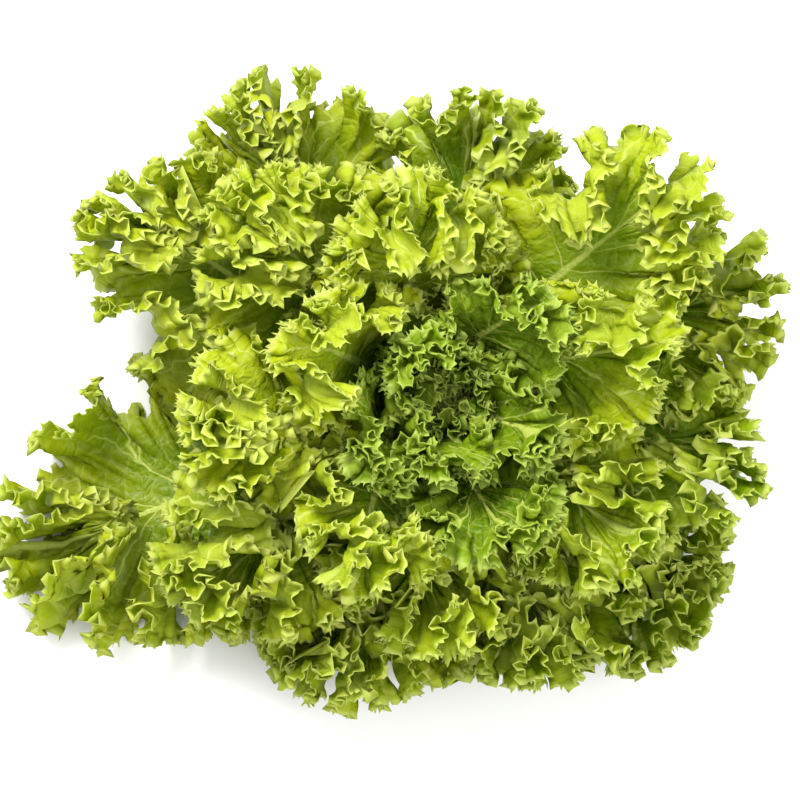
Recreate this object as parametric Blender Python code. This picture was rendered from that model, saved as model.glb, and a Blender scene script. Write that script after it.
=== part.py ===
"""Curly leaf lettuce head, cut at the stem and standing on its cut face.

Loose frilled leaves grow from a short stem at the golden turn. Each leaf lies on its own bowl around the
stem, the outer bowls low and open and the inner ones steep, so that the leaves nest without touching.
"""

import bmesh
import bpy
import numpy as np

# Leaves: how many, and how each one is turned from the last, in degrees
LEAF_COUNT = 25
HEART_LEAVES = 6
OUTER_LEAVES = 9
GOLDEN_TURN = 137.508
FIRST_TURN = 198.0

# Blade sizes of the outermost and the innermost leaf, in metres
LENGTHS = (0.138, 0.060)
HALF_WIDTHS = (0.063, 0.024)
BASE_HALF_WIDTHS = (0.013, 0.006)
MIDRIB_REACH = 0.72
WAVE_COUNTS = (12, 8)
CURL_ZONES = (0.030, 0.015)
BLADE_THICKNESS = 0.0008
RIB_THICKNESSES = (0.0030, 0.0018)

# Bowls that the leaves lie on: slope at the root and at the turn's end in degrees, length of the turn
ROOT_SLOPES = (20, 84)
TIP_SLOPES = (-24, 76)
TURN_LENGTHS = (0.145, 0.060)
NARROWEST_WRAP = 0.012

# Leaves that grew otherwise than their turn: extra turn in degrees, share of the usual length
ODD_LEAVES = {
    0: (2, 1.06),
    1: (-13, 0.82),
    2: (8, 0.95),
    3: (4, 0.78),
    4: (-8, 0.99),
    5: (-19, 1.06),
    6: (-6, 0.84),
    7: (-1, 0.93),
    8: (4, 0.93),
    9: (-7, 0.99),
    10: (0, 1.02),
    11: (-4, 0.85),
    12: (-2, 1.30),
    15: (0, 1.12),
    17: (6, 1.18),
    18: (0, 1.15),
    20: (-8, 1.15),
}

# Stem: height and radius of its turned outline, from the cut face to the tip, in metres
STEM_OUTLINE = (
    (0.000, 0.0165),
    (0.002, 0.0175),
    (0.009, 0.0185),
    (0.020, 0.0170),
    (0.034, 0.0120),
    (0.044, 0.0075),
    (0.050, 0.0030),
)
STEM_SIDES = 24
# Heights where the outermost and the innermost leaf grow, and the gap that they keep to the stem
LEAF_ROOTS = (0.0065, 0.0425)
GAP = 0.0004

# The head leans as it rises, in metres, and its lowest leaves rest on the table
LEAN = (0.014, -0.026)
LEAN_HEIGHTS = (0.042, 0.110)
LOWEST_MIDDLE = 0.0008
TABLE_SOFTNESS = 0.003

# Frill: how far its crests and troughs bend over the curl zone, in degrees
FRILL_BEND = 85
FRILL_FADE = (0.05, 0.40)
LOBE_DEPTHS = (0.05, 0.04)
BODY_WAVE = 0.0012
EDGE_RISE = 0.04

# Room that a margin keeps from its neighbours, as shares of the way to them, and where it counts, in metres
ROOM_UNDER_BLADE = 0.55
ROOM_BESIDE_FRILL = 0.30
CALM_INSIDE = 0.020
FRILL_REACH = 0.016

# Closed bud between the innermost leaves, in metres
BUD_SIZE = (0.011, 0.011, 0.011)
BUD_CENTRE = (0.001, -0.002, 0.062)

# Colours of the outermost and the innermost leaf, and of the stem
OUTER_GREEN = (0.13, 0.27, 0.015)
INNER_GREEN = (0.33, 0.48, 0.04)
LEAF_ROUGHNESS = 0.42
STEM_COLOUR = (0.62, 0.66, 0.42)
STEM_ROUGHNESS = 0.55

# Net of each blade: columns around the margin for each wave, which stand on its crest, sides and trough
COLUMNS_PER_WAVE = 4
# Rows across the frill as shares of the curl zone from the margin, then down to the midrib
FRILL_ROWS = (0.0, 0.36, 0.78)
INNER_ROWS = (0.80, 0.42, 0.0)
# How many margin columns one column of each row spans
COLUMN_STEPS = (1, 1, 2, 4, 4, 4)


def between(ends, share):
    """The value that lies share of the way from the outer end to the inner one."""
    return ends[0] + (ends[1] - ends[0]) * share


def ramp(values, low, high):
    """0 below low, 1 above high, and a smooth step between."""
    share = np.clip((values - low) / (high - low), 0, 1)
    return share * share * (3 - 2 * share)


def wander(places, seed, slowest, fastest):
    """Smooth random values around 0: four sines whose rates and phases come from the seed."""
    rng = np.random.default_rng(seed)
    rates = rng.uniform(slowest, fastest, 4)
    phases = rng.uniform(0, 2 * np.pi, 4)
    return np.sin(2 * np.pi * np.outer(places, rates) + phases).sum(axis=1) / 2


def stem_radius(height):
    heights, radii = zip(*STEM_OUTLINE)
    return np.interp(height, heights, radii)


def leaf_frame(index):
    """The dimensions of one leaf, counted from the outermost."""
    share = index / (LEAF_COUNT - 1)
    extra_turn, stretch = ODD_LEAVES.get(index, (0, 1))
    return {
        "seed": index + 1,
        "share": share,
        "turn": np.radians(FIRST_TURN + GOLDEN_TURN * index + extra_turn),
        "length": between(LENGTHS, share**1.15) * stretch,
        "half_width": between(HALF_WIDTHS, share),
        "base": between(BASE_HALF_WIDTHS, share),
        "waves": round(between(WAVE_COUNTS, share)),
        "zone": between(CURL_ZONES, share),
    }


def bowl(leaf, along):
    """Radius, height and slope of the leaf's bowl at distances along it from the root."""
    share = leaf["share"]
    first_slope = np.radians(between(ROOT_SLOPES, share**0.9))
    last_slope = np.radians(between(TIP_SLOPES, share**1.15))
    root_height = between(LEAF_ROOTS, share)
    root_radius = stem_radius(root_height) + GAP + RIB_THICKNESSES[0] / 2 * np.sin(first_slope)
    steps = np.linspace(0, 1.4 * leaf["length"], 200)
    slopes = first_slope + (last_slope - first_slope) * np.clip(steps / between(TURN_LENGTHS, share), 0, 1.35)
    middle = (slopes[1:] + slopes[:-1]) / 2
    radii = root_radius + np.append(0, np.cumsum(np.cos(middle))) * steps[1]
    heights = root_height + np.append(0, np.cumsum(np.sin(middle))) * steps[1]
    return [np.interp(along, steps, values) for values in (radii, heights, slopes)]


def half_outline(leaf):
    """Half width, distance from the root and length of margin along one side of the flat blade."""
    rise = np.linspace(0, 1, 401)
    angle = np.pi * rise**0.95
    height = leaf["length"] * (1 - np.cos(angle)) / 2
    fullness = 0.85 + 1.3 * (1 - rise)
    width = leaf["base"] * (1 - rise) ** 2 + leaf["half_width"] * np.clip(np.sin(angle), 0, 1) ** fullness
    return width, height, np.append(0, np.cumsum(np.hypot(np.diff(width), np.diff(height))))


def margin_place(leaf, around):
    """Flat margin of the blade: around runs from -1 at the left root over 0 at the tip to 1 at the right."""
    width, height, arc = half_outline(leaf)
    place = (1 - np.abs(around)) * arc[-1]
    return np.interp(place, arc, width) * np.sign(around), np.interp(place, arc, height)


def wrap(leaf, across, along):
    """Direction around the stem of places across the blade from its midrib."""
    return leaf["turn"] + across / np.maximum(bowl(leaf, along)[0], NARROWEST_WRAP)


def room(leaf, across, along):
    """How far a margin here can curl up and down before it meets the leaves over and under it."""
    radius, height, slope = bowl(leaf, along)
    direction = wrap(leaf, across, along)
    up = np.full(len(along), leaf["zone"])
    down = up.copy()
    for other in map(leaf_frame, range(LEAF_COUNT)):
        other_radius, other_height, _ = bowl(other, along)
        apart = (other_height - height) * np.cos(slope) - (other_radius - radius) * np.sin(slope)
        turned = np.abs((direction - other["turn"] + np.pi) % (2 * np.pi) - np.pi)
        offset = turned * np.maximum(radius, NARROWEST_WRAP)
        width, rise, _ = half_outline(other)
        beside = offset - np.interp(along, rise, width) + np.clip(along - rise[-1], 0, None)
        share = np.where(beside < -CALM_INSIDE, ROOM_UNDER_BLADE, ROOM_BESIDE_FRILL)
        free = np.where(beside < FRILL_REACH, np.abs(apart) * share, leaf["zone"])
        if other["share"] > leaf["share"]:
            up = np.minimum(up, free)
        elif other["share"] < leaf["share"]:
            down = np.minimum(down, free)
    return up, down


def margin_columns(leaf):
    """Wave phase of each column, its place around the margin, and where its vein leaves the midrib."""
    waves = leaf["waves"]
    phase = np.linspace(0, waves, waves * COLUMNS_PER_WAVE + 1)
    spread = np.clip(1 + 0.3 * wander(phase / waves, leaf["seed"], 1, 5), 0.5, 1.7)
    steps = np.append(0, np.cumsum(spread[1:] + spread[:-1]))
    around = 2 * steps / steps[-1] - 1
    even = np.abs(np.linspace(-1, 1, len(phase)))
    inward = 1 - (np.abs(around) + np.abs(around[::-1]) + 2 * even) / 4
    return phase, around, MIDRIB_REACH * leaf["length"] * np.clip(inward, 0, 1) ** 0.9


def lean_and_rest(points):
    """Leans the head as it rises, and eases what would reach below the table up onto it."""
    x, y, z = points.T
    rise = (np.clip(z - LEAN_HEIGHTS[0], 0, None) / (LEAN_HEIGHTS[1] - LEAN_HEIGHTS[0])) ** 1.3
    eased = LOWEST_MIDDLE + TABLE_SOFTNESS * np.logaddexp(0, (z - LOWEST_MIDDLE) / TABLE_SOFTNESS)
    return np.stack([x + LEAN[0] * rise, y + LEAN[1] * rise, eased], axis=1)


def on_bowl(leaf, across, along, lift):
    """Points of the blade wrapped onto its bowl, each lifted square to it, then leant and rested."""
    radius, height, slope = bowl(leaf, along)
    direction = wrap(leaf, across, along)
    radius = np.maximum(radius - lift * np.sin(slope), 0.0005)
    height = height + lift * np.cos(slope)
    return lean_and_rest(np.stack([radius * np.cos(direction), radius * np.sin(direction), height], axis=1))


def blade_rows(leaf):
    """Rows of points on the middle of the blade, from the frilled margin in to the midrib.

    A column is a straight ray from the midrib to the margin. Over the curl zone it bends up into a crest
    or down into a trough, as an arc whose angle follows the wave around the margin.
    """
    phase, around, spine = margin_columns(leaf)
    fade = ramp(1 - np.abs(around), *FRILL_FADE)
    lobes = LOBE_DEPTHS[0] * np.sin(2.3 * np.pi * around + leaf["seed"])
    lobes += LOBE_DEPTHS[1] * np.sin(5.1 * np.pi * around - leaf["seed"])
    across, up = margin_place(leaf, around)
    ray = np.hypot(across, up - spine)
    reach = ray * (1 + fade * lobes)
    zone = np.minimum(leaf["zone"], 0.75 * reach)
    uneven = 1 + 0.3 * wander(phase / leaf["waves"], leaf["seed"] + 100, 2, 7)
    over, under = room(leaf, across, up)
    bend = np.radians(FRILL_BEND) * fade * uneven * np.sin(2 * np.pi * phase)
    bend = np.clip(bend, -2 * under / zone, 2 * over / zone) + 1e-6
    distances = [reach - row * zone for row in FRILL_ROWS]
    distances += [distances[-1] * row for row in INNER_ROWS]
    rows = []
    for distance, step in zip(distances, COLUMN_STEPS):
        arc = bend * np.clip(1 - (reach - distance) / zone, 0, 1)
        out = np.minimum(distance, reach - zone) + zone * np.sin(arc) / bend
        x = across / ray * out
        y = spine + (up - spine) / ray * out
        swell = BODY_WAVE * fade * (distance / reach) ** 1.6 * np.sin(3.2 * np.pi * around + leaf["seed"])
        cup = EDGE_RISE * x**2 / leaf["half_width"] * (leaf["share"] - 0.3)
        lift = zone * (1 - np.cos(arc)) / bend + swell + cup
        rows.append(on_bowl(leaf, x, y, lift)[::step])
    return rows


def strip(near, far):
    """Triangles between two rows of point numbers, where one far cell may span several near ones."""
    step = (len(near) - 1) // (len(far) - 1)
    half = (step + 1) // 2
    triangles = []
    for cell in range(len(far) - 1):
        start = cell * step
        for side in range(step):
            corner = far[cell] if side < half else far[cell + 1]
            triangles.append((near[start + side], near[start + side + 1], corner))
        triangles.append((near[start + half], far[cell + 1], far[cell]))
    return [corners for corners in triangles if len(set(corners)) == 3]


def blade_sheet(leaf):
    """Points and triangles of one blade's middle, and how near each point is to the root along the midrib."""
    numbers = []
    points = []
    for row in blade_rows(leaf):
        numbers.append(list(range(len(points), len(points) + len(row))))
        points += [tuple(point) for point in row]
    # The midrib row runs from the root to the tip and back, so its second half reuses the first
    midrib = numbers[-1]
    half = (len(midrib) + 1) // 2
    numbers[-1] = midrib[:half] + midrib[: len(midrib) - half][::-1]
    points = points[: midrib[0] + half]
    triangles = []
    for near, far in zip(numbers, numbers[1:]):
        triangles += strip(near, far)
    rooted = [0.0] * midrib[0] + [1 - place / half for place in range(half)]
    return points, triangles, rooted


def make_object(name, mesh, material):
    """A named object of the mesh, shaded smooth, in the scene."""
    mesh.materials.clear()
    mesh.materials.append(material)
    mesh.shade_smooth()
    obj = bpy.data.objects.new(name, mesh)
    bpy.context.scene.collection.objects.link(obj)
    return obj


def make_leaf(name, index):
    """One thin blade, thickest at the root of its midrib."""
    leaf = leaf_frame(index)
    points, triangles, rooted = blade_sheet(leaf)
    mesh = bpy.data.meshes.new(name)
    mesh.from_pydata(points, [], triangles)
    obj = make_object(name, mesh, leaf_material(name, leaf["share"]))
    rib_thickness = between(RIB_THICKNESSES, leaf["share"])
    blade_share = BLADE_THICKNESS / rib_thickness
    group = obj.vertex_groups.new(name="Thickness")
    for number, nearness in enumerate(rooted):
        group.add([number], blade_share + (1 - blade_share) * nearness, "REPLACE")
    solidify = obj.modifiers.new("Blade thickness", "SOLIDIFY")
    solidify.thickness = rib_thickness
    solidify.offset = 0
    solidify.vertex_group = group.name
    return obj


def largest_shell(mesh):
    """Leaves only the outer shell, so that pockets closed in between the heart's leaves are solid."""
    shape = bmesh.new()
    shape.from_mesh(mesh)
    left = set(shape.faces)
    shells = []
    while left:
        start = left.pop()
        shell = [start]
        for face in shell:
            for edge in face.edges:
                for other in edge.link_faces:
                    if other in left:
                        left.remove(other)
                        shell.append(other)
        shells.append(shell)
    shells.sort(key=len)
    inner = [face for shell in shells[:-1] for face in shell]
    bmesh.ops.delete(shape, geom=inner, context="FACES")
    bmesh.ops.triangulate(shape, faces=shape.faces)
    shape.to_mesh(mesh)
    shape.free()
    return mesh


def make_heart():
    """The innermost leaves, crowded together around a small closed bud."""
    bud_mesh = bpy.data.meshes.new("heart")
    shape = bmesh.new()
    bmesh.ops.create_uvsphere(shape, u_segments=16, v_segments=8, radius=1)
    bmesh.ops.scale(shape, vec=BUD_SIZE, verts=shape.verts)
    bmesh.ops.translate(shape, vec=BUD_CENTRE, verts=shape.verts)
    shape.to_mesh(bud_mesh)
    shape.free()
    heart = make_object("heart", bud_mesh, leaf_material("heart", 1.0))
    leaves = bpy.data.collections.new("Heart leaves")
    bpy.context.scene.collection.children.link(leaves)
    for index in range(LEAF_COUNT - HEART_LEAVES, LEAF_COUNT):
        leaf = make_leaf(f"heart_leaf_{index + 1:02d}", index)
        bpy.context.scene.collection.objects.unlink(leaf)
        leaves.objects.link(leaf)
    union = heart.modifiers.new("Join the leaves", "BOOLEAN")
    union.operation = "UNION"
    union.operand_type = "COLLECTION"
    union.collection = leaves
    union.solver = "MANIFOLD"
    graph = bpy.context.evaluated_depsgraph_get()
    joined = bpy.data.meshes.new_from_object(heart.evaluated_get(graph))
    heart.modifiers.clear()
    heart.data = largest_shell(joined)
    for leaf in list(leaves.objects):
        bpy.data.objects.remove(leaf)
    bpy.data.collections.remove(leaves)


def make_stem():
    """The short stem, turned from its outline, with a flat cut face below."""
    mesh = bpy.data.meshes.new("stem")
    profile = [(0, 0, STEM_OUTLINE[-1][0])]
    profile += [(radius, 0, height) for height, radius in reversed(STEM_OUTLINE)]
    profile += [(0, 0, 0)]
    mesh.from_pydata(profile, [(i, i + 1) for i in range(len(profile) - 1)], [])
    stem = make_object("stem", mesh, plain_material("stem", STEM_COLOUR, STEM_ROUGHNESS))
    screw = stem.modifiers.new("Turned stem", "SCREW")
    screw.steps = STEM_SIDES
    screw.render_steps = STEM_SIDES
    screw.use_merge_vertices = True
    screw.merge_threshold = 0.00005


def plain_material(name, colour, roughness):
    material = bpy.data.materials.new(name)
    material.use_nodes = True
    shader = material.node_tree.nodes["Principled BSDF"]
    shader.inputs["Base Color"].default_value = (*colour, 1)
    shader.inputs["Roughness"].default_value = roughness
    shader.inputs["Metallic"].default_value = 0
    return material


def leaf_material(name, share):
    """Green, darker on the outer leaves and yellower towards the heart."""
    colour = [between(ends, share) for ends in zip(OUTER_GREEN, INNER_GREEN)]
    return plain_material(name, colour, LEAF_ROUGHNESS)


def leaf_name(index):
    if index < OUTER_LEAVES:
        return f"outer_leaf_{index + 1:02d}"
    return f"inner_leaf_{index + 1 - OUTER_LEAVES:02d}"


for old in list(bpy.data.objects):
    bpy.data.objects.remove(old)
make_stem()
for number in range(LEAF_COUNT - HEART_LEAVES):
    make_leaf(leaf_name(number), number)
make_heart()
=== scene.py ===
"""A head of curly leaf lettuce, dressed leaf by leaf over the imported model."""

import bpy
import numpy as np
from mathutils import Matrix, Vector


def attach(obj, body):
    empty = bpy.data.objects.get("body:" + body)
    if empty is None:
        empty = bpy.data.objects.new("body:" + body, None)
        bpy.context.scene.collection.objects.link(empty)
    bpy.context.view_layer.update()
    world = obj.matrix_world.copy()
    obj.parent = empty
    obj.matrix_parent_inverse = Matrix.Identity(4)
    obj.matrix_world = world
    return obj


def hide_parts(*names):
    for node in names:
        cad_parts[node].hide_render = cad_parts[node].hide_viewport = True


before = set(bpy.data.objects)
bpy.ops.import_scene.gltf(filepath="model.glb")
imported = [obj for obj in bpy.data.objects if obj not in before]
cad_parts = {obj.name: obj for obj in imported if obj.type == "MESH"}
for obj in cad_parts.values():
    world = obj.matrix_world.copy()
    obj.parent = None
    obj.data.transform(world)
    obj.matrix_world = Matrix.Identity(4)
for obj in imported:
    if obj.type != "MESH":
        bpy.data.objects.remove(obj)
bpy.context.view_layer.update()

# Stem
# The short fleshy axis that every leaf grows from, cut off flat below the oldest leaves. It is pale green,
# ribbed where leaves have been pulled off, and its cut face has browned a little round a paler core.
STEM_OUTLINE = (
    (0.000, 0.002, 0.009, 0.020, 0.034, 0.044, 0.050),
    (0.0165, 0.0175, 0.0185, 0.0170, 0.0120, 0.0075, 0.0030),
)
STEM_ROWS = 60
STEM_COLUMNS = 72
# Rows of the cut face, height of the saw's ripples on it and their number
CUT_ROWS = 14
CUT_RIPPLE = 0.0002
CUT_RIPPLES = 9
# Leaf scars: depth, close and wide rate up the stem in radians a metre, and where they fade in and out
SCAR_DEPTH = 0.00035
SCAR_RATES = (1400, 240)
SCARS_FROM = (0.001, 0.004)
SCARS_TO = (0.050, 0.044)
CUT_COLOUR = (0.60, 0.62, 0.38)
STEM_COLOUR = (0.42, 0.52, 0.16)
BROWNED_COLOUR = (0.30, 0.17, 0.06)


def ramp(values, low, high):
    """0 below low, 1 above high, and 3 s squared less 2 s cubed of the share s between."""
    share = np.clip((values - low) / (high - low), 0, 1)
    return share * share * (3 - 2 * share)


def turned_stem():
    """Grid of points of the stem, from the middle of the cut face out, up its side and in to its tip.

    The radius is the outline's at each height, evened out over five rows, plus scars: the sine of the
    height and two turns, times the sine of three turns and a slower rate of the height. The cut face
    ripples by the cosine of the way out.
    """
    heights, radii = STEM_OUTLINE
    face = np.linspace(0, 1, CUT_ROWS)
    climb = np.linspace(0, 1, STEM_ROWS)
    turn = np.linspace(0, 2 * np.pi, STEM_COLUMNS, endpoint=False)
    height = heights[-1] * climb
    side = np.interp(height, heights, radii)
    side = np.convolve(np.pad(side, 2, mode="edge"), np.ones(5) / 5, mode="valid")
    close = np.sin(height[:, None] * SCAR_RATES[0] + 2 * turn)
    wide = np.sin(3 * turn + height[:, None] * SCAR_RATES[1])
    scarred = ramp(height, *SCARS_FROM) * ramp(height, *SCARS_TO)
    radius = side[:, None] + SCAR_DEPTH * close * wide * scarred[:, None]
    cut = face[:, None] * radius[0]
    cut_height = CUT_RIPPLE * (1 - np.cos(face * CUT_RIPPLES * np.pi)) * (1 - face)
    radius = np.concatenate([cut[:-1], radius])
    level = np.concatenate([cut_height[:-1], height])
    x = radius * np.cos(turn)
    y = radius * np.sin(turn)
    return np.stack([x, y, np.broadcast_to(level[:, None], x.shape)], axis=-1)


def grid_faces(rows, columns):
    """Quads of a grid whose last column joins its first, each as four point numbers."""
    row, column = np.meshgrid(np.arange(rows - 1), np.arange(columns), indexing="ij")
    here = row * columns + column
    beside = row * columns + (column + 1) % columns
    return np.stack([here, here + columns, beside + columns, beside], axis=-1).reshape(-1, 4)


def fill_mesh(mesh, points, faces):
    """Puts arrays of points and of faces with equal corner counts into a mesh, shaded smooth."""
    mesh.vertices.add(len(points))
    mesh.vertices.foreach_set("co", points.astype(np.float32).ravel())
    mesh.loops.add(faces.size)
    mesh.loops.foreach_set("vertex_index", faces.astype(np.int32).ravel())
    mesh.polygons.add(len(faces))
    mesh.polygons.foreach_set("loop_start", np.arange(0, faces.size, faces.shape[1], dtype=np.int32))
    mesh.update(calc_edges=True)
    mesh.polygons.foreach_set("use_smooth", np.ones(len(faces), bool))


def add_piece(name, mesh, material, slot, *nodes):
    """Links the mesh as a piece that rides on the root, has this finish and stands for these CAD nodes."""
    mesh.materials.append(material)
    piece = bpy.data.objects.new(name, mesh)
    bpy.context.scene.collection.objects.link(piece)
    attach(piece, "root")
    if nodes:
        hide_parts(*nodes)
    return piece


def calc(tree, operation, a, b=0.0, c=0.0, clamp=False):
    """A Math node's result from values or sockets."""
    node = tree.nodes.new("ShaderNodeMath")
    node.operation = operation
    node.use_clamp = clamp
    for socket, value in zip(node.inputs, (a, b, c)):
        if isinstance(value, bpy.types.NodeSocket):
            tree.links.new(value, socket)
        else:
            socket.default_value = value
    return node.outputs[0]


def step_between(tree, value, low, high, rising=True):
    """A smooth step of a value from 0 to 1 between low and high, or from 1 to 0."""
    node = tree.nodes.new("ShaderNodeMapRange")
    node.interpolation_type = "SMOOTHSTEP"
    tree.links.new(value, node.inputs["Value"])
    for name, number in (("From Min", low), ("From Max", high)):
        if isinstance(number, bpy.types.NodeSocket):
            tree.links.new(number, node.inputs[name])
        else:
            node.inputs[name].default_value = number
    node.inputs["To Min"].default_value = 0.0 if rising else 1.0
    node.inputs["To Max"].default_value = 1.0 if rising else 0.0
    return node.outputs["Result"]


def blend_colour(tree, share, first, second, kind="MIX"):
    """A Mix node of two colours, each a socket or a colour."""
    node = tree.nodes.new("ShaderNodeMix")
    node.data_type = "RGBA"
    node.blend_type = kind
    for number, value in ((0, share), (6, first), (7, second)):
        if isinstance(value, bpy.types.NodeSocket):
            tree.links.new(value, node.inputs[number])
        else:
            node.inputs[number].default_value = value if number == 0 else (*value, 1)
    return node.outputs[2]


def texture(tree, kind, coordinates, **settings):
    """A texture node on these coordinates, with its options and inputs set by name."""
    node = tree.nodes.new("ShaderNodeTex" + kind)
    tree.links.new(coordinates, node.inputs["Vector"])
    for name, value in settings.items():
        if hasattr(node, name):
            setattr(node, name, value)
        else:
            node.inputs[name.title()].default_value = value
    return node


def read_attribute(tree, name):
    """The node of a value kept on the mesh's points."""
    node = tree.nodes.new("ShaderNodeAttribute")
    node.attribute_name = name
    return node


def split(tree, vector):
    """The three numbers of a vector."""
    node = tree.nodes.new("ShaderNodeSeparateXYZ")
    tree.links.new(vector, node.inputs[0])
    return node.outputs


def stem_material():
    """Stem: pale moist flesh with a green skin streaked along its height, and a browned ring on the cut."""
    material = bpy.data.materials.new("Stem")
    material.use_nodes = True
    tree = material.node_tree
    skin = tree.nodes["Principled BSDF"]
    place = tree.nodes.new("ShaderNodeTexCoord").outputs["Object"]
    x, y, z = split(tree, place)
    squares = calc(tree, "ADD", calc(tree, "MULTIPLY", x, x), calc(tree, "MULTIPLY", y, y))
    out = calc(tree, "SQRT", squares)
    squeeze = tree.nodes.new("ShaderNodeMapping")
    squeeze.inputs["Scale"].default_value = (1, 1, 0.12)
    tree.links.new(place, squeeze.inputs["Vector"])
    streaks = texture(tree, "Noise", squeeze.outputs[0], scale=420.0, detail=4.0)
    blotches = texture(tree, "Noise", place, scale=90.0, detail=3.0)
    green = step_between(tree, z, 0.0, 0.03)
    green = calc(tree, "ADD", green, calc(tree, "SUBTRACT", streaks.outputs["Fac"], 0.5), clamp=True)
    colour = blend_colour(tree, green, CUT_COLOUR, STEM_COLOUR)
    on_cut = step_between(tree, z, 0.0004, 0.0012, rising=False)
    past_core = step_between(tree, out, 0.009, 0.0115)
    ring = calc(tree, "MULTIPLY", past_core, step_between(tree, out, 0.0135, 0.016, rising=False))
    brown = calc(tree, "MULTIPLY", calc(tree, "ADD", ring, 0.25), blotches.outputs["Fac"])
    brown = calc(tree, "MULTIPLY", brown, on_cut, clamp=True)
    colour = blend_colour(tree, brown, colour, BROWNED_COLOUR)
    tree.links.new(colour, skin.inputs["Base Color"])
    tree.links.new(calc(tree, "MULTIPLY_ADD", blotches.outputs["Fac"], 0.3, 0.35), skin.inputs["Roughness"])
    bump = tree.nodes.new("ShaderNodeBump")
    bump.inputs["Strength"].default_value = 0.6
    bump.inputs["Distance"].default_value = 0.0008
    tree.links.new(streaks.outputs["Fac"], bump.inputs["Height"])
    tree.links.new(bump.outputs["Normal"], skin.inputs["Normal"])
    return material


stem_points = turned_stem()
stem_mesh = bpy.data.meshes.new("stem_axis")
fill_mesh(stem_mesh, stem_points.reshape(-1, 3), grid_faces(*stem_points.shape[:2]))
add_piece("stem_axis", stem_mesh, stem_material(), "stem", "stem")

# Outer leaves
# The oldest and largest leaves, thin green tissue on a fleshy pale midrib, grown one by one out of the
# short stem at the golden turn. They lie low and open, and their margins have grown far longer than the
# blade inside, so that they fold into frills, folds on the frills, and small pointed teeth.
# Each pair of values runs from the outermost leaf to the innermost, in metres and degrees
LEAF_COUNT = 25
OUTER_LEAVES = 9
HEART_LEAVES = 6
GOLDEN_TURN = 137.508
FIRST_TURN = 198.0
LENGTHS = (0.138, 0.060)
HALF_WIDTHS = (0.063, 0.024)
BASE_HALF_WIDTHS = (0.013, 0.006)
MIDRIB_REACH = 0.72
WAVE_COUNTS = (12, 8)
CURL_ZONES = (0.030, 0.015)
LEAF_ROOTS = (0.0065, 0.0425)
ROOT_SLOPES = (20, 84)
TIP_SLOPES = (-24, 76)
TURN_LENGTHS = (0.145, 0.060)
# Leaves that grew otherwise than their turn: extra turn in degrees, share of the usual length
ODD_LEAVES = {
    0: (2, 1.06),
    1: (-13, 0.82),
    2: (8, 0.95),
    3: (4, 0.78),
    4: (-8, 0.99),
    5: (-19, 1.06),
    6: (-6, 0.84),
    7: (-1, 0.93),
    8: (4, 0.93),
    9: (-7, 0.99),
    10: (0, 1.02),
    11: (-4, 0.85),
    12: (-2, 1.30),
    15: (0, 1.12),
    17: (6, 1.18),
    18: (0, 1.15),
    20: (-8, 1.15),
}
# Leaves whose colour is shifted yellower than usual, or below 0 to a deeper green
LEAF_TONES = {
    0: 0.22,
    1: -0.30,
    2: 0.22,
    5: 0.30,
    6: -0.15,
    7: -0.10,
    9: -0.32,
    10: 0.28,
    12: 0.32,
    13: 0.50,
    14: -0.05,
    15: 0.25,
    17: 0.05,
    18: 0.30,
}


def between(ends, share):
    """The value that lies share of the way from the outer end to the inner one."""
    return ends[0] + (ends[1] - ends[0]) * share


def wander(places, seed, slowest, fastest):
    """Smooth random values around 0: the sum of four sines with seeded rates and phases, halved."""
    rng = np.random.default_rng(seed)
    rates = rng.uniform(slowest, fastest, 4)
    phases = rng.uniform(0, 2 * np.pi, 4)
    return np.sin(2 * np.pi * places[..., None] * rates + phases).sum(axis=-1) / 2


def leaf_frame(index):
    """The dimensions of one leaf, counted from the outermost, whose share is 0, to the innermost's 1."""
    share = index / (LEAF_COUNT - 1)
    extra_turn, stretch = ODD_LEAVES.get(index, (0, 1))
    return {
        "seed": index + 1,
        "share": share,
        "turn": np.radians(FIRST_TURN + GOLDEN_TURN * index + extra_turn),
        "length": between(LENGTHS, share**1.15) * stretch,
        "half_width": between(HALF_WIDTHS, share),
        "base": between(BASE_HALF_WIDTHS, share),
        "waves": round(between(WAVE_COUNTS, share)),
        "zone": between(CURL_ZONES, share),
        "tone": LEAF_TONES.get(index, 0),
    }


# Gap that a leaf's middle keeps from the stem, what a steep one keeps more, and how far past its last slope
# a blade goes on turning
STEM_GAP = 0.0004
STEEP_GAP = 0.0015
OVERTURN = 1.35


def bowl(leaf, along):
    """Radius, height and slope at distances along the leaf's bowl.

    The slope turns evenly from its value at the root to its value at the turn's end, and radius and
    height are the running sums of its cosine and sine.
    """
    share = leaf["share"]
    first_slope = np.radians(between(ROOT_SLOPES, share**0.9))
    last_slope = np.radians(between(TIP_SLOPES, share**1.15))
    steps = np.linspace(0, 1.4 * leaf["length"], 200)
    turned = np.clip(steps / between(TURN_LENGTHS, share), 0, OVERTURN)
    slopes = first_slope + (last_slope - first_slope) * turned
    middle = (slopes[1:] + slopes[:-1]) / 2
    root_height = between(LEAF_ROOTS, share)
    root_radius = np.interp(root_height, *STEM_OUTLINE) + STEM_GAP + STEEP_GAP * np.sin(first_slope)
    radii = root_radius + np.append(0, np.cumsum(np.cos(middle))) * steps[1]
    heights = root_height + np.append(0, np.cumsum(np.sin(middle))) * steps[1]
    return [np.interp(along, steps, values) for values in (radii, heights, slopes)]


# Power of the sine that a blade's width follows at the tip, and what it gains towards the root
TIP_POWER = 0.85
ROOT_POWER = 1.3


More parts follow.
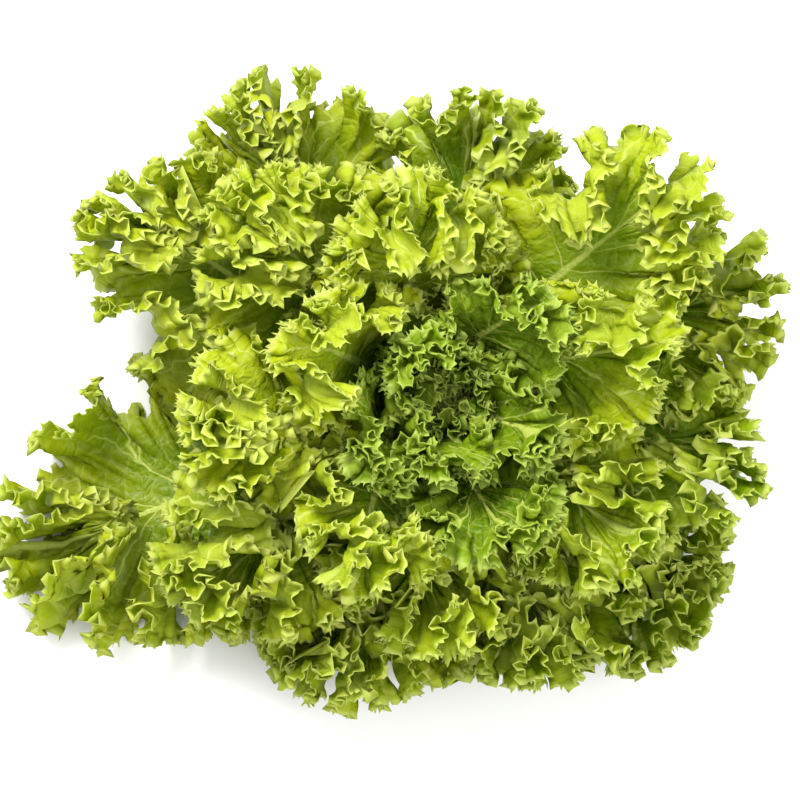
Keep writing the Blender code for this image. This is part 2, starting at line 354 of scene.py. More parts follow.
def half_outline(leaf):
    """Half width, distance from the root and length of margin along one side of the flat blade.

    Seen flat, a point of the margin goes once round half a circle stretched to the leaf's length, and its
    width is the sine of that angle, raised to a power that falls from root to tip, times the half width.
    """
    rise = np.linspace(0, 1, 401)
    angle = np.pi * rise**0.95
    height = leaf["length"] * (1 - np.cos(angle)) / 2
    power = TIP_POWER + ROOT_POWER * (1 - rise)
    width = leaf["base"] * (1 - rise) ** 2 + leaf["half_width"] * np.clip(np.sin(angle), 0, 1) ** power
    return width, height, np.append(0, np.cumsum(np.hypot(np.diff(width), np.diff(height))))


def margin_place(leaf, around):
    """Flat margin of the blade: around runs from -1 at the left root over 0 at the tip to 1 at the right."""
    width, height, arc = half_outline(leaf)
    place = (1 - np.abs(around)) * arc[-1]
    return np.interp(place, arc, width) * np.sign(around), np.interp(place, arc, height)


# Radius below which a blade wraps no closer around the stem, and the least radius of its points
NARROWEST_WRAP = 0.012
INNERMOST = 0.0005


def wrap(leaf, across, along):
    """Direction around the stem of places across the blade from its midrib."""
    return leaf["turn"] + across / np.maximum(bowl(leaf, along)[0], NARROWEST_WRAP)


# Room for the frill: share of the gap to the next leaf that it takes under a blade and beside a frill, how
# far inside its margin that leaf lies calm, and how far outside it its frill reaches
ROOM_UNDER_BLADE = 0.80
ROOM_BESIDE_FRILL = 0.52
CALM_INSIDE = 0.020
FRILL_REACH = 0.012


def room(leaf, across, along):
    """How far a margin here can curl up and down before it meets the leaves over and under it."""
    radius, height, slope = bowl(leaf, along)
    direction = wrap(leaf, across, along)
    up = np.full(len(along), leaf["zone"])
    down = up.copy()
    for other in map(leaf_frame, range(LEAF_COUNT)):
        other_radius, other_height, _ = bowl(other, along)
        apart = (other_height - height) * np.cos(slope) - (other_radius - radius) * np.sin(slope)
        turned = np.abs((direction - other["turn"] + np.pi) % (2 * np.pi) - np.pi)
        offset = turned * np.maximum(radius, NARROWEST_WRAP)
        width, rise, _ = half_outline(other)
        beside = offset - np.interp(along, rise, width) + np.clip(along - rise[-1], 0, None)
        share = np.where(beside < -CALM_INSIDE, ROOM_UNDER_BLADE, ROOM_BESIDE_FRILL)
        free = np.where(beside < FRILL_REACH, np.abs(apart) * share, leaf["zone"])
        if other["share"] > leaf["share"]:
            up = np.minimum(up, free)
        elif other["share"] < leaf["share"]:
            down = np.minimum(down, free)
    return up, down


# How unevenly the waves stand around the margin
WAVE_SPREAD = 0.3


def margin_columns(leaf, phase):
    """Place around the margin of columns at these wave phases, and where their veins leave the midrib."""
    fine = np.linspace(0, 1, 2001)
    spread = np.clip(1 + WAVE_SPREAD * wander(fine, leaf["seed"], 1, 5), 0.5, 1.7)
    steps = np.append(0, np.cumsum(spread[1:] + spread[:-1]))
    around = 2 * np.interp(phase / leaf["waves"], fine, steps / steps[-1]) - 1
    even = np.abs(2 * phase / leaf["waves"] - 1)
    inward = np.clip(1 - (np.abs(around) + np.abs(around[::-1]) + 2 * even) / 4, 0, 1)
    return around, inward


def on_bowl(leaf, across, along, lift):
    """Points of the blade wrapped onto its bowl, each lifted square to it."""
    radius, height, slope = bowl(leaf, along)
    direction = wrap(leaf, across, along)
    radius = np.maximum(radius - lift * np.sin(slope), INNERMOST)
    height = height + lift * np.cos(slope)
    return np.stack([radius * np.cos(direction), radius * np.sin(direction), height], axis=-1)


# How far the head leans to the right and to the front between two heights, the lowest that a blade's middle
# lies, and the height over which it eases there
LEAN = (0.014, -0.026)
LEAN_HEIGHTS = (0.042, 0.110)
LOWEST_MIDDLE = 0.0008
TABLE_SOFTNESS = 0.003


def lean_and_rest(points):
    """Leans the head as it rises, and eases what would reach below the table up onto it."""
    x, y, z = np.moveaxis(points, -1, 0)
    rise = (np.clip(z - LEAN_HEIGHTS[0], 0, None) / (LEAN_HEIGHTS[1] - LEAN_HEIGHTS[0])) ** 1.3
    eased = LOWEST_MIDDLE + TABLE_SOFTNESS * np.logaddexp(0, (z - LOWEST_MIDDLE) / TABLE_SOFTNESS)
    return np.stack([x + LEAN[0] * rise, y + LEAN[1] * rise, eased], axis=-1)


def folded(points, height, angle, overhang):
    """Moves a grid square to itself by height times sin(angle), and back along its rows by sin(2 angle).

    The second move is overhang times the height, and leans each fold over its own neck.
    """
    along = np.gradient(points, axis=1)
    square = np.cross(along, np.gradient(points, axis=0))
    square /= np.linalg.norm(square, axis=-1, keepdims=True) + 1e-9
    along /= np.linalg.norm(along, axis=-1, keepdims=True) + 1e-9
    return (
        points
        + square * (height * np.sin(angle))[..., None]
        - along * (overhang * height * np.sin(2 * angle))[..., None]
    )


# The margin's waves: power of their sine, how much they differ, and the least and most of that
WAVE_POWER = 0.7
WAVE_DIFFERENCE = 0.35
WAVE_SIZES = (0.3, 1.3)
# The frill in degrees: slope that its crests bend up to, between which shares of the leaves that changes,
# the bend of the troughs, the least and most bend of a crest, and the most of a crowded one
CREST_STAND = (178, 100)
STANDING_SHARES = (0.50, 0.85)
TROUGH_BENDS = (80, 38)
CREST_BENDS = (30, 155)
CROWDED_BEND = 115
# Room over a crest as a share of the curl zone, from where it begins to be free to where it is
FREE_ROOM = (0.6, 0.9)


def crests_and_bends(leaf, phase, across, up, zone, fade):
    """How far the margin is a free crest at each column, 0 in a trough, and the angle that it bends by.

    Both follow the sine of the column's wave, raised to a power that broadens its crests. A crest bends up
    to its leaf's slope and a trough down, as far as their arcs have room.
    """
    over, under = room(leaf, across, up)
    wave = np.sin(2 * np.pi * phase)
    wave = np.sign(wave) * np.abs(wave) ** WAVE_POWER
    uneven = wander(phase / leaf["waves"], leaf["seed"] + 100, 3, 9)
    uneven = np.clip(1 + WAVE_DIFFERENCE * uneven, *WAVE_SIZES)
    free = ramp(over / zone, *FREE_ROOM)
    stand = between(CREST_STAND, ramp(leaf["share"], *STANDING_SHARES))
    stand = np.clip(stand - np.degrees(bowl(leaf, up)[2]), *CREST_BENDS)
    crest_bend = between((np.minimum(stand, CROWDED_BEND), stand), free)
    most = np.where(wave > 0, crest_bend, between(TROUGH_BENDS, leaf["share"]))
    bend = np.radians(most) * fade * uneven * wave
    highest = np.where(free > 0.5, np.pi * 1.1, 2 * over / zone)
    # A bend of exactly 0 has no arc to measure
    bend = np.clip(bend, -2 * under / zone, highest) + 1e-6
    return fade * free * uneven * np.clip(wave, 0, None), bend


# Where around the margin from the root the frill begins and is full
FRILL_FADE = (0.05, 0.40)
# Long waves of the flat margin: depth as a share of its way from the midrib, and rate around it
LOBE_DEPTHS = (0.05, 0.04)
LOBE_RATES = (2.3, 5.1)
# Most of the way from midrib to margin that the curl zone takes, at first and with its growth
WIDEST_ZONE = 0.75
WIDEST_GROWN_ZONE = 0.80
# A free crest has grown longer than the margin beside it: growth as a share of the curl zone, what the zone
# gains of it, and the share of the zone that bends, past which the crest lies straight over the blade
CREST_GROWTH = (0.38, 0.20)
CREST_ZONE = 1.15
BENT_SHARE = 0.62
# The blade inside the frill: sideways swing of its waves as a share of one, height and rates of the
# pillows between the veins, height and rate of its slow roll, and how it cups across, flat at one share
SWING = 0.15
PUFF_HEIGHT = 0.0016
PUFF_RATES = (420, 360, 610)
ROLL_HEIGHT = 0.0012
ROLL_RATE = 3.2
CUPPING = 0.04
UNCUPPED_SHARE = 0.3
# Rows from the margin in metres on the outermost leaf, then as shares of the rest of the way to the midrib
FRILL_ROWS = np.array([0, 0.9, 1.9, 3.2, 4.8, 7.0, 9.5, 12.5, 16.0, 20.0, 25.0, 31.0, 38.0]) * 0.001
INNER_ROWS = np.array([0.82, 0.62, 0.42, 0.26, 0.13, 0.05, 0.0])


def curled_blade(leaf, phase):
    """The blade before its folds, as a grid of rows from the margin in and columns at these wave phases.

    A column is a straight ray from the midrib to the margin. Over the curl zone it bends up into a crest
    or down into a trough, as an arc. A free crest has grown longer, and the part past its bend lies
    straight, back over the blade. With the points come the frill's fade along the margin, the leaf's size
    beside the outermost one, and what the shader reads: the place on the flat blade and its distance from
    the margin, and where a vein through here leaves the midrib, how far out it is, and the leaf's tone.
    """
    seed = leaf["seed"]
    around, inward = margin_columns(leaf, phase)
    spine = MIDRIB_REACH * leaf["length"] * inward**0.9
    fade = ramp(1 - np.abs(around), *FRILL_FADE)
    lobes = LOBE_DEPTHS[0] * np.sin(LOBE_RATES[0] * np.pi * around + seed)
    lobes += LOBE_DEPTHS[1] * np.sin(LOBE_RATES[1] * np.pi * around - seed)
    across, up = margin_place(leaf, around)
    ray = np.hypot(across, up - spine)
    reach = ray * (1 + fade * lobes)
    zone = np.minimum(leaf["zone"], WIDEST_ZONE * reach)
    size = leaf["zone"] / CURL_ZONES[0]
    crest, bend = crests_and_bends(leaf, phase, across, up, zone, fade)
    growth = between(CREST_GROWTH, leaf["share"]) * zone * crest
    reach = reach + growth
    zone = np.minimum(zone + CREST_ZONE * growth, WIDEST_GROWN_ZONE * reach)

    outer = reach - FRILL_ROWS[:, None] * size * zone / leaf["zone"]
    distance = np.concatenate([outer, outer[-1] * INNER_ROWS[:, None]])
    share = np.clip(distance / reach, 0, 1)
    along = np.clip(distance - (reach - zone), 0, None)
    bent = zone * between((1, BENT_SHARE), np.clip(crest, 0, 1))
    arc = bend * np.minimum(along / bent, 1)
    straight = np.clip(along - bent, 0, None)
    out = np.minimum(distance, reach - zone) + bent * np.sin(arc) / bend + straight * np.cos(bend)
    lift = bent * (1 - np.cos(arc)) / bend + straight * np.sin(bend)

    swing = SWING * 2 / leaf["waves"] * np.sin(4 * np.pi * phase) * fade * ramp(share, 0.35, 1.0) ** 1.3
    swung_across, swung_up = margin_place(leaf, np.clip(around - swing, -1, 1))
    swung = np.hypot(swung_across, swung_up - spine) + 1e-9
    x = swung_across / swung * out
    y = spine + (swung_up - spine) / swung * out
    lift += ROLL_HEIGHT * fade * share**1.6 * np.sin(ROLL_RATE * np.pi * around + seed)
    lift += CUPPING * x**2 / leaf["half_width"] * (leaf["share"] - UNCUPPED_SHARE)
    flat_x = across / ray * distance
    flat_y = spine + (up - spine) / ray * distance
    puff = np.sin(flat_x * PUFF_RATES[0] + seed) * np.sin(flat_y * PUFF_RATES[1] + 2 * seed)
    puff += 0.6 * np.sin((flat_x + flat_y) * PUFF_RATES[2] + 3 * seed)
    lift += PUFF_HEIGHT * size * puff * ramp(share, 0.08, 0.4) * ramp(flat_y / leaf["length"], 0.05, 0.3)
    blade = np.stack([flat_x, flat_y, np.broadcast_to(reach - distance, x.shape)], axis=-1)
    net = np.stack([np.broadcast_to(inward, x.shape), share, np.full(x.shape, leaf["tone"])], axis=-1)
    return on_bowl(leaf, x, y, lift), fade, size, blade, net


def along_margin(points):
    """Length along the margin, the grid's first row, up to each of its columns."""
    return np.cumsum(np.linalg.norm(np.diff(points[0], axis=0, prepend=points[0][:1]), axis=1))


# How close columns stand where the margin has no frill, beside where it has
BARE_COLUMNS = 0.35


def even_columns(leaf, per_wave):
    """Wave phases of columns that stand evenly along the curled margin, the same on both its sides.

    Each step along the margin counts in full on the frill and by the smaller share where there is none.
    """
    phase = np.linspace(0, leaf["waves"], leaf["waves"] * per_wave + 1)
    points, fade = curled_blade(leaf, phase)[:2]
    steps = np.diff(along_margin(points)) * between((BARE_COLUMNS, 1), (fade[1:] + fade[:-1]) / 2)
    run = np.append(0, np.cumsum(steps + steps[::-1]))
    return np.interp(np.linspace(0, run[-1], len(phase)), run, phase)


# Teeth: spacing and height in metres, the least and most of the height, and how far they lean aside
TOOTH_SPACING = 0.0026
TOOTH_HEIGHT = 0.0024
TOOTH_LENGTHS = (0.25, 1.0)
TOOTH_TILT = 0.0011


def toothed(points, fade, seed):
    """Moves the margin out into teeth, at every tooth's spacing along its real length.

    A tooth is one point of the margin. Its length and its tilt to a side of the sheet are random.
    """
    outward = points[0] - points[1]
    outward /= np.linalg.norm(outward, axis=-1, keepdims=True) + 1e-9
    square = np.cross(outward, np.gradient(points[0], axis=0))
    square /= np.linalg.norm(square, axis=-1, keepdims=True) + 1e-9
    number = (along_margin(points) / TOOTH_SPACING).astype(int)
    lengths, tilts = np.random.default_rng(seed + 500).uniform(0, 1, (2, len(number)))
    tooth = fade * np.where(np.diff(number, prepend=0) > 0, between(TOOTH_LENGTHS, lengths), 0)
    points[0] += outward * (TOOTH_HEIGHT * tooth)[:, None]
    points[0] += square * (TOOTH_TILT * tooth * (2 * tilts - 1))[:, None]
    return points


# Folds on the frill, each laid on the coarser ones: height at the margin, depth from it and width along it
# in metres, and overhang as a share of the height. Then how far their lines meander, in radians
FOLDS = (
    (0.0029, 0.060, 0.0220, 0.35),
    (0.0021, 0.026, 0.0094, 0.65),
    (0.0007, 0.009, 0.0050, 0.40),
)
MEANDER = 0.8
# Thickness of the blade and of the midrib at its root, the rib's half width, the share of the thickness that
# the margin has, and the depth of the thin margin
BLADE_THICKNESS = 0.0006
RIB_THICKNESS = 0.0028
RIB_HALF_WIDTH = 0.0045
MARGIN_SHARE = 0.35
THIN_MARGIN = 0.004


def blade_grid(leaf, per_wave):
    """The middle of the blade, folded and toothed, as a grid of rows from the margin in.

    Folds are sines along the margin's real length, square to the sheet, and fade out inwards. Their heights
    and widths wander. Each finer fold is laid on the sheet that the coarser ones have folded. The blade
    thickens in from the margin, and again towards the midrib.
    """
    seed = leaf["seed"]
    phase = even_columns(leaf, per_wave)
    points, fade, size, blade, net = curled_blade(leaf, phase)
    flat_x, flat_y, from_margin = np.moveaxis(blade, -1, 0)
    inside = from_margin / size
    for number, (height, depth, width, overhang) in enumerate(FOLDS):
        run = along_margin(points)
        place = run / run[-1]
        folds = run[-1] / width
        uneven = 1 + 0.5 * wander(place, seed + 200 + number, folds / 6, folds / 1.5)
        drift = 1.5 * wander(place, seed + 300 + number, folds / 8, folds / 2)
        meander = MEANDER * np.sin(inside * 5 / depth + 2.6 * np.pi * phase + seed)
        angle = 2 * np.pi * folds * place + drift + meander
        height = height * size**0.3 * fade * np.clip(uneven, 0.15, 1.5)
        height = height * np.clip(1 - inside / depth, 0, 1) ** 1.25
        points = folded(points, height, angle, overhang)
    points = toothed(points, fade, seed)

    rib = 1 - ramp(np.abs(flat_x), 0.0, RIB_HALF_WIDTH)
    rib = rib * np.clip(1 - flat_y / (MIDRIB_REACH * leaf["length"]), 0, 1)
    thickness = BLADE_THICKNESS + (RIB_THICKNESS * size - BLADE_THICKNESS) * rib
    thickness = thickness * between((MARGIN_SHARE, 1), ramp(inside, 0, THIN_MARGIN))
    return lean_and_rest(points), thickness / 2, blade, net


# In each row of a blade, how many columns apart its kept points stand
COLUMN_STEPS = (1,) * 2 + (2,) * 3 + (4,) * 4 + (8,) * 4 + (16,) * 7


def sheet_triangles(columns, steps):
    """Triangles between rows that keep every step-th column, and how many points each row keeps.

    Every span of the outer row makes a triangle with the nearer end of the inner row's span beside it, and
    that span makes one with the outer point at its middle.
    """
    counts = [columns // step + 1 for step in steps]
    starts = np.concatenate([[0], np.cumsum(counts)])
    triangles = []
    for near, far, start, end in zip(counts, counts[1:], starts, starts[1:]):
        ratio = (near - 1) // (far - 1)
        half = (ratio + 1) // 2
        cell = np.arange(far - 1)
        for side in range(ratio):
            corner = end + cell + (side >= half)
            first = start + cell * ratio + side
            triangles.append(np.stack([first, first + 1, corner], axis=1))
        triangles.append(np.stack([start + cell * ratio + half, end + cell + 1, end + cell], axis=1))
    return np.concatenate(triangles), counts


def closed_leaf(leaf, per_wave):
    """Points, triangles and shader values of one leaf as a closed thin solid.

    The middle sheet's two halves are welded along the midrib. Each point is moved half the thickness both
    ways along the mean direction of its triangles, and the open edges of the two faces are joined. The
    last of the values is 1 on the upper face and 0 on the lower.
    """
    points, half_thickness, blade, net = blade_grid(leaf, per_wave)
    columns = points.shape[1] - 1
    triangles, counts = sheet_triangles(columns, COLUMN_STEPS)
    kept = [np.arange(0, columns + 1, step) for step in COLUMN_STEPS]
    points, half_thickness, blade, net = [
        np.concatenate([grid[row][keep] for row, keep in enumerate(kept)])
        for grid in (points, half_thickness, blade, net)
    ]
    # The last row runs up one side of the midrib and down the other
    first = len(points) - counts[-1]
    mirror = np.arange(len(points))
    mirror[first:] = first + np.minimum(np.arange(counts[-1]), counts[-1] - 1 - np.arange(counts[-1]))
    triangles = mirror[triangles]
    a, b, c = triangles.T
    triangles = triangles[(a != b) & (b != c) & (a != c)]
    used, triangles = np.unique(triangles, return_inverse=True)
    triangles = triangles.reshape(-1, 3)
    points, half_thickness, blade, net = points[used], half_thickness[used], blade[used], net[used]
    corners = points[triangles]
    facing = np.cross(corners[:, 1] - corners[:, 0], corners[:, 2] - corners[:, 0])
    square = np.stack([
        sum(np.bincount(triangles[:, k], facing[:, axis], len(points)) for k in range(3)) for axis in range(3)
    ], axis=1)
    square /= np.linalg.norm(square, axis=1, keepdims=True) + 1e-12
    thick = square * half_thickness[:, None]
    ends = np.concatenate([triangles[:, [0, 1]], triangles[:, [1, 2]], triangles[:, [2, 0]]])
    _, first_use, uses = np.unique(np.sort(ends, axis=1), axis=0, return_index=True, return_counts=True)
    rim = ends[first_use[uses == 1]]
    count = len(points)
    below = triangles[:, ::-1] + count
    walls = np.concatenate([
        np.stack([rim[:, 1], rim[:, 0], rim[:, 0] + count], axis=1),
        np.stack([rim[:, 1], rim[:, 0] + count, rim[:, 1] + count], axis=1),
    ])
    side = np.repeat([1.0, 0.0], count)
    net = np.concatenate([net, net])
    blade = np.concatenate([blade, blade])
    points = np.concatenate([points + thick, points - thick])
    return points, np.concatenate([triangles, below, walls]), blade, net, side


def vein_group():
    """Veins of a blade: a midrib, side veins that leave it and fork, and a fine net between them.

    A side vein runs along a line of equal place on the midrib, and forks into two that part evenly on the
    way out. The net is the borders of two sizes of cells on the flat blade, bent by noise. The blade rises
    as pillows between the veins.
    """
    group = bpy.data.node_groups.new("Leaf veins", "ShaderNodeTree")
    for label in ("Side Veins", "Cell Size"):
        group.interface.new_socket(label, in_out="INPUT", socket_type="NodeSocketFloat")
    for label in ("Vein", "Net", "Height"):
        group.interface.new_socket(label, in_out="OUTPUT", socket_type="NodeSocketFloat")
    given = group.nodes.new("NodeGroupInput").outputs
    made = group.nodes.new("NodeGroupOutput").inputs
    flat = read_attribute(group, "blade").outputs["Vector"]
    flat_x = split(group, flat)["X"]
    inward, out, _ = split(group, read_attribute(group, "net").outputs["Vector"])
    bend = texture(group, "Noise", flat, scale=55.0, detail=2.0)
    bent = group.nodes.new("ShaderNodeVectorMath")
    bent.operation = "MULTIPLY_ADD"
    group.links.new(bend.outputs["Color"], bent.inputs[0])
    bent.inputs[1].default_value = (0.009, 0.009, 0.0)
    group.links.new(flat, bent.inputs[2])

    rib_width = calc(group, "MULTIPLY_ADD", inward, -0.0035, 0.0042)
    from_middle = calc(group, "ABSOLUTE", flat_x)
    rib = step_between(group, from_middle, calc(group, "MULTIPLY", rib_width, 0.35), rib_width, False)

    drift = calc(group, "MULTIPLY_ADD", bend.outputs["Fac"], 0.55, -0.27)
    lane = calc(group, "MULTIPLY_ADD", inward, given["Side Veins"], drift)
    beside = calc(group, "ABSOLUTE", calc(group, "SUBTRACT", calc(group, "FRACT", lane), 0.5))
    width = calc(group, "MULTIPLY_ADD", out, -0.045, 0.062)
    stalk = step_between(group, beside, 0.0, width, False)
    parted = calc(group, "MULTIPLY", calc(group, "SUBTRACT", out, 0.30, clamp=True), 0.62)
    to_fork = calc(group, "ABSOLUTE", calc(group, "SUBTRACT", beside, parted))
    fork = step_between(group, to_fork, 0.0, calc(group, "MULTIPLY", width, 0.7), False)
    vein = calc(group, "MAXIMUM", calc(group, "MAXIMUM", rib, stalk), calc(group, "MULTIPLY", fork, 0.75))

    count = calc(group, "DIVIDE", 1.0, given["Cell Size"])
    borders = {"feature": "DISTANCE_TO_EDGE", "voronoi_dimensions": "2D"}
    cells = texture(group, "Voronoi", bent.outputs[0], **borders)
    small = texture(group, "Voronoi", bent.outputs[0], **borders)
    group.links.new(count, cells.inputs["Scale"])
    group.links.new(calc(group, "MULTIPLY", count, 2.6), small.inputs["Scale"])
    coarse = step_between(group, cells.outputs["Distance"], 0.0, 0.085, False)
    fine = step_between(group, small.outputs["Distance"], 0.0, 0.11, False)
    mesh = calc(group, "MAXIMUM", coarse, calc(group, "MULTIPLY", fine, 0.5))
    pillow = step_between(group, cells.outputs["Distance"], 0.0, 0.45)
    pillow = calc(group, "MULTIPLY", pillow, step_between(group, beside, 0.0, 0.3))
    ripple = step_between(group, small.outputs["Distance"], 0.0, 0.4)
    height = calc(group, "MULTIPLY_ADD", pillow, 0.7, calc(group, "MULTIPLY", ripple, 0.25))
    height = calc(group, "MULTIPLY_ADD", vein, -0.35, height)
    for label, value in (("Vein", vein), ("Net", mesh), ("Height", height)):
        group.links.new(value, made[label])
    return group


def tissue_group():
    """Colour of leaf tissue: deep green inside, brighter and yellower towards the margin, pale at the root.

    Noise in Object space shifts it between the two greens in blotches and specks, and the leaf's tone shifts
    it as a whole, which on the bud leaves is painted shade. Veins and the root are paler, the last millimetre
    and a half of the margin is yellow, and the underside is duller and rougher.
    """
    group = bpy.data.node_groups.new("Leaf tissue", "ShaderNodeTree")
    for label in ("Deep", "Bright", "Margin", "Vein Colour", "Root"):
        group.interface.new_socket(label, in_out="INPUT", socket_type="NodeSocketColor")
    for label in ("Vein", "Net"):
        group.interface.new_socket(label, in_out="INPUT", socket_type="NodeSocketFloat")
    group.interface.new_socket("Colour", in_out="OUTPUT", socket_type="NodeSocketColor")
    group.interface.new_socket("Roughness", in_out="OUTPUT", socket_type="NodeSocketFloat")
    given = group.nodes.new("NodeGroupInput").outputs
    made = group.nodes.new("NodeGroupOutput").inputs
    _, flat_y, from_margin = split(group, read_attribute(group, "blade").outputs["Vector"])
    side = read_attribute(group, "side").outputs["Fac"]
    tone = split(group, read_attribute(group, "net").outputs["Vector"])["Z"]
    place = group.nodes.new("ShaderNodeTexCoord").outputs["Object"]
    blotches = texture(group, "Noise", place, scale=38.0, detail=3.0).outputs["Fac"]
    specks = texture(group, "Noise", place, scale=420.0, detail=2.0).outputs["Fac"]

    outwards = step_between(group, from_margin, 0.002, 0.045, False)
    bright = calc(group, "MULTIPLY_ADD", outwards, 0.75, tone)
    bright = calc(group, "MULTIPLY_ADD", blotches, 1.3, calc(group, "SUBTRACT", bright, 0.65))
    bright = calc(group, "MULTIPLY_ADD", specks, 0.35, calc(group, "SUBTRACT", bright, 0.175), clamp=True)
    colour = blend_colour(group, bright, given["Deep"], given["Bright"])
    rooted = calc(group, "MULTIPLY", step_between(group, flat_y, 0.004, 0.036, False), 0.85)
    colour = blend_colour(group, rooted, colour, given["Root"])
    lines = calc(group, "MULTIPLY", given["Net"], 0.26)
    lines = calc(group, "MAXIMUM", calc(group, "MULTIPLY", given["Vein"], 0.85), lines)
    inner = calc(group, "MULTIPLY_ADD", step_between(group, from_margin, 0.0, 0.009), 0.4, 0.6)
    colour = blend_colour(group, calc(group, "MULTIPLY", lines, inner), colour, given["Vein Colour"])
    rim = calc(group, "MULTIPLY", step_between(group, from_margin, 0.0002, 0.0016, False), 0.65)
    colour = blend_colour(group, rim, colour, given["Margin"])
    under = calc(group, "SUBTRACT", 1.0, side)
    colour = blend_colour(group, calc(group, "MULTIPLY", under, 0.28), colour, UNDERSIDE_COLOUR)
    rough = calc(group, "MULTIPLY_ADD", specks, 0.22, 0.24)
    rough = calc(group, "MULTIPLY_ADD", under, 0.15, rough)
    group.links.new(colour, made["Colour"])
    group.links.new(rough, made["Roughness"])
    return group


VEIN_COLOUR = (0.68, 0.74, 0.16)
ROOT_COLOUR = (0.70, 0.74, 0.34)
UNDERSIDE_COLOUR = (0.46, 0.54, 0.05)
LIT_THROUGH = (0.66, 0.90, 0.008)
leaf_veins = vein_group()
leaf_tissue = tissue_group()


def leaf_material(name, deep, bright, margin, shine_through, cell_size):
    """Leaf: a satin skin over tissue that lets light through, raised in pillows between its veins."""
    material = bpy.data.materials.new(name)
    material.use_nodes = True
    tree = material.node_tree
    skin = tree.nodes["Principled BSDF"]
    veins = tree.nodes.new("ShaderNodeGroup")
    veins.node_tree = leaf_veins
    veins.inputs["Side Veins"].default_value = 8.0
    veins.inputs["Cell Size"].default_value = cell_size
    tissue = tree.nodes.new("ShaderNodeGroup")
    tissue.node_tree = leaf_tissue
    colours = (deep, bright, margin, VEIN_COLOUR, ROOT_COLOUR)
    for label, colour in zip(("Deep", "Bright", "Margin", "Vein Colour", "Root"), colours):
        tissue.inputs[label].default_value = (*colour, 1)
    tree.links.new(veins.outputs["Vein"], tissue.inputs["Vein"])
    tree.links.new(veins.outputs["Net"], tissue.inputs["Net"])
    bump = tree.nodes.new("ShaderNodeBump")
    bump.inputs["Strength"].default_value = 0.6
    bump.inputs["Distance"].default_value = 0.0012
    tree.links.new(veins.outputs["Height"], bump.inputs["Height"])
    skin.inputs["IOR"].default_value = 1.42
    skin.inputs["Specular IOR Level"].default_value = 0.27
    tree.links.new(tissue.outputs["Colour"], skin.inputs["Base Color"])
    tree.links.new(tissue.outputs["Roughness"], skin.inputs["Roughness"])
    tree.links.new(bump.outputs["Normal"], skin.inputs["Normal"])
    through = tree.nodes.new("ShaderNodeBsdfTranslucent")
    glow = blend_colour(tree, 0.55, tissue.outputs["Colour"], LIT_THROUGH)
    tree.links.new(glow, through.inputs["Color"])
    mix = tree.nodes.new("ShaderNodeMixShader")
    mix.inputs["Fac"].default_value = shine_through
    tree.links.new(skin.outputs[0], mix.inputs[1])
    tree.links.new(through.outputs[0], mix.inputs[2])
    tree.links.new(mix.outputs[0], tree.nodes["Material Output"].inputs["Surface"])
    return material


# Columns of a blade to each wave of its margin
COLUMNS_PER_WAVE = 160


def leaf_mesh(name, leaves, per_wave=COLUMNS_PER_WAVE):
    """One mesh of closed leaves, with the values that the shader reads kept on its points."""
    parts = [closed_leaf(leaf, per_wave) for leaf in leaves]
    offsets = np.cumsum([0] + [len(part[0]) for part in parts])
    mesh = bpy.data.meshes.new(name)
    faces = np.concatenate([part[1] + offset for part, offset in zip(parts, offsets)])
    fill_mesh(mesh, np.concatenate([part[0] for part in parts]), faces)
    for label, number in (("blade", 2), ("net", 3)):
        values = np.concatenate([part[number] for part in parts]).astype(np.float32)
        mesh.attributes.new(label, "FLOAT_VECTOR", "POINT").data.foreach_set("vector", values.ravel())
    side = np.concatenate([part[4] for part in parts]).astype(np.float32)
    mesh.attributes.new("side", "FLOAT", "POINT").data.foreach_set("value", side)
    return mesh


outer_green = leaf_material(
    "Outer leaf",
    deep=(0.12, 0.215, 0.001),
    bright=(0.42, 0.47, 0.010),
    margin=(0.58, 0.61, 0.17),
    shine_through=0.36,
    cell_size=0.0085,
)
for index in range(OUTER_LEAVES):
    node = f"outer_leaf_{index + 1:02d}"
    mesh = leaf_mesh(node + "_blade", [leaf_frame(index)])
    add_piece(node + "_blade", mesh, outer_green, "outer_leaf", node)

# Inner leaves
# Younger leaves of the same growth, steeper and shorter, that crowd up around the heart. They are thin
# fresh tissue, yellower than the old leaves and painted lighter still for the more light that falls on them
# higher up, and grow out of the stem above them.
# Painted light: a lighter, yellower copy of the leaf finish, for the more light that falls on the inner
# leaves
inner_green_painted_light = leaf_material(
    "Inner leaf painted light",
    deep=(0.135, 0.255, 0.001),
    bright=(0.45, 0.51, 0.010),
    margin=(0.62, 0.65, 0.18),
    shine_through=0.38,
    cell_size=0.0070,
)
for index in range(OUTER_LEAVES, LEAF_COUNT - HEART_LEAVES):
    node = f"inner_leaf_{index + 1 - OUTER_LEAVES:02d}"
    mesh = leaf_mesh(node + "_blade", [leaf_frame(index)])
    add_piece(node + "_blade", mesh, inner_green_painted_light, "inner_leaf", node)

# Heart
# The youngest leaves, still small, stand close together around the growing tip of the stem and fill the
# middle with tight frills, painted a darker green for the shade that the leaves around them cast. The
# smallest of them, a deeper green still for the painted shade down in the middle, hide the tip itself.
BUD_LEAVES = 7
BUD_LENGTHS = (0.044, 0.024)
BUD_WIDTH = 0.42
# Painted shade: the bud leaves' tone, a deeper green for the shade down in the middle of the heart
BUD_PAINTED_SHADE = -0.6
# What each bud leaf's share adds to the last one's
BUD_STEP = 0.022
HEART_COLUMNS = 128
BUD_COLUMNS = 96


def bud_leaf(number):
    """One of the smallest leaves, which follow on from the last counted leaf at the golden turn.

    Its share goes on past 1, so that its bowl stands inside the others and steeper.
    """
    leaf = leaf_frame(LEAF_COUNT - 1)
    leaf["seed"] = LEAF_COUNT + number + 1
    leaf["turn"] += np.radians(GOLDEN_TURN) * (number + 1)
    leaf["share"] = 1 + BUD_STEP * (number + 1)
    leaf["length"] = between(BUD_LENGTHS, number / (BUD_LEAVES - 1))
    leaf["half_width"] = BUD_WIDTH * leaf["length"]
    leaf["tone"] = BUD_PAINTED_SHADE
    return leaf
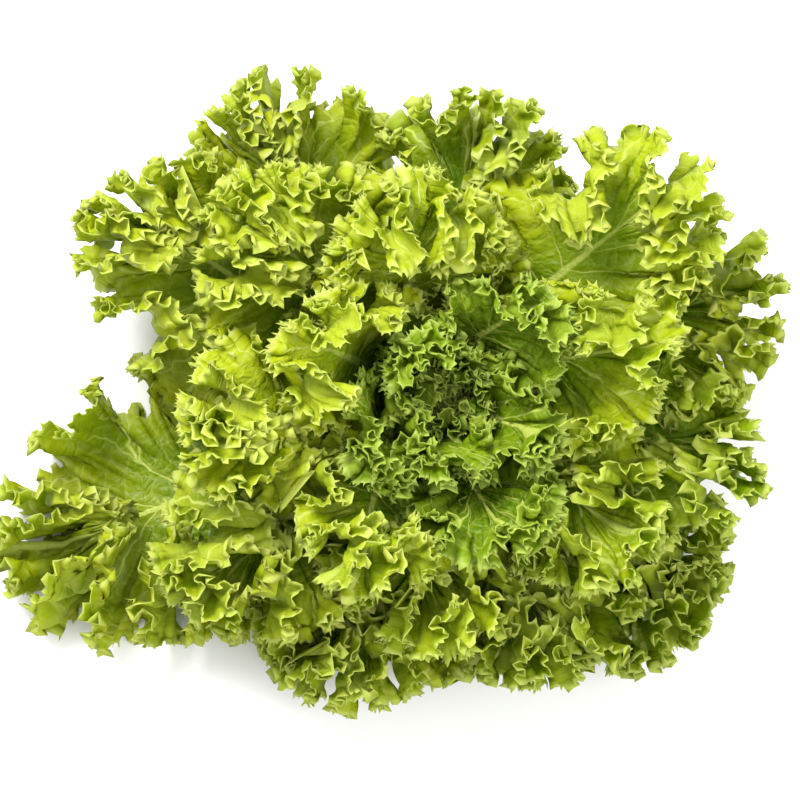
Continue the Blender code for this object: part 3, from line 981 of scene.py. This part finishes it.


# Painted shade: a darker copy of the leaf finish, for the shade that falls into the heart under the leaves
# around it
heart_green_painted_shade = leaf_material(
    "Heart leaf painted shade",
    deep=(0.070, 0.160, 0.001),
    bright=(0.23, 0.340, 0.006),
    margin=(0.47, 0.56, 0.12),
    shine_through=0.34,
    cell_size=0.0055,
)
heart_leaves = [leaf_frame(index) for index in range(LEAF_COUNT - HEART_LEAVES, LEAF_COUNT)]
mesh = leaf_mesh("heart_leaves", heart_leaves, HEART_COLUMNS)
add_piece("heart_leaves", mesh, heart_green_painted_shade, "heart_leaf", "heart")
mesh = leaf_mesh("bud_leaves", [bud_leaf(number) for number in range(BUD_LEAVES)], BUD_COLUMNS)
add_piece("bud_leaves", mesh, heart_green_painted_shade, "heart_leaf")

# Table, light and camera
# The head stands on a plain white table under soft light from the upper left, and is seen almost from
# straight above, as in a studio photograph of it.
TABLE_SIZE = 6.0
TABLE_COLOUR = (0.85, 0.85, 0.85)
SKY_LIGHT = 1.0
CAMERA_AIM = (-0.008, -0.003, 0.050)
CAMERA_DISTANCE = 0.686
CAMERA_ELEVATION = 75
LENS = 85


def aim(thing, place, target):
    """Puts a lamp or camera at a place, looking at the target with its top up."""
    thing.location = place
    thing.rotation_euler = (Vector(target) - Vector(place)).to_track_quat("-Z", "Y").to_euler()
    bpy.context.scene.collection.objects.link(thing)


half = TABLE_SIZE / 2
table_mesh = bpy.data.meshes.new("table")
corners = [(-half, -half, 0), (half, -half, 0), (half, half, 0), (-half, half, 0)]
table_mesh.from_pydata(corners, [], [(0, 1, 2, 3)])
table = bpy.data.objects.new("table", table_mesh)
bpy.context.scene.collection.objects.link(table)
table_paint = bpy.data.materials.new("Table")
table_paint.use_nodes = True
coat = table_paint.node_tree.nodes["Principled BSDF"]
coat.inputs["Base Color"].default_value = (*TABLE_COLOUR, 1)
coat.inputs["Roughness"].default_value = 0.9
table_mesh.materials.append(table_paint)

for name, place, size, power in (
    ("Window light", (-0.40, 0.50, 0.90), 0.60, 18.5),
    ("Fill light", (0.60, -0.50, 0.90), 0.80, 10),
):
    lamp = bpy.data.lights.new(name, "AREA")
    lamp.size = size
    lamp.energy = power
    aim(bpy.data.objects.new(name, lamp), place, CAMERA_AIM)

world = bpy.data.worlds.new("Studio")
bpy.context.scene.world = world
world.use_nodes = True
sky = world.node_tree.nodes["Background"]
sky.inputs["Color"].default_value = (1, 1, 1, 1)
sky.inputs["Strength"].default_value = SKY_LIGHT

camera = bpy.data.cameras.new("Camera")
camera.lens = LENS
tilt = np.radians(CAMERA_ELEVATION)
eye = np.array(CAMERA_AIM) + CAMERA_DISTANCE * np.array([0, -np.cos(tilt), np.sin(tilt)])
camera_object = bpy.data.objects.new("Camera", camera)
aim(camera_object, eye, CAMERA_AIM)
bpy.context.scene.camera = camera_object
bpy.context.scene.view_settings.view_transform = "Standard"
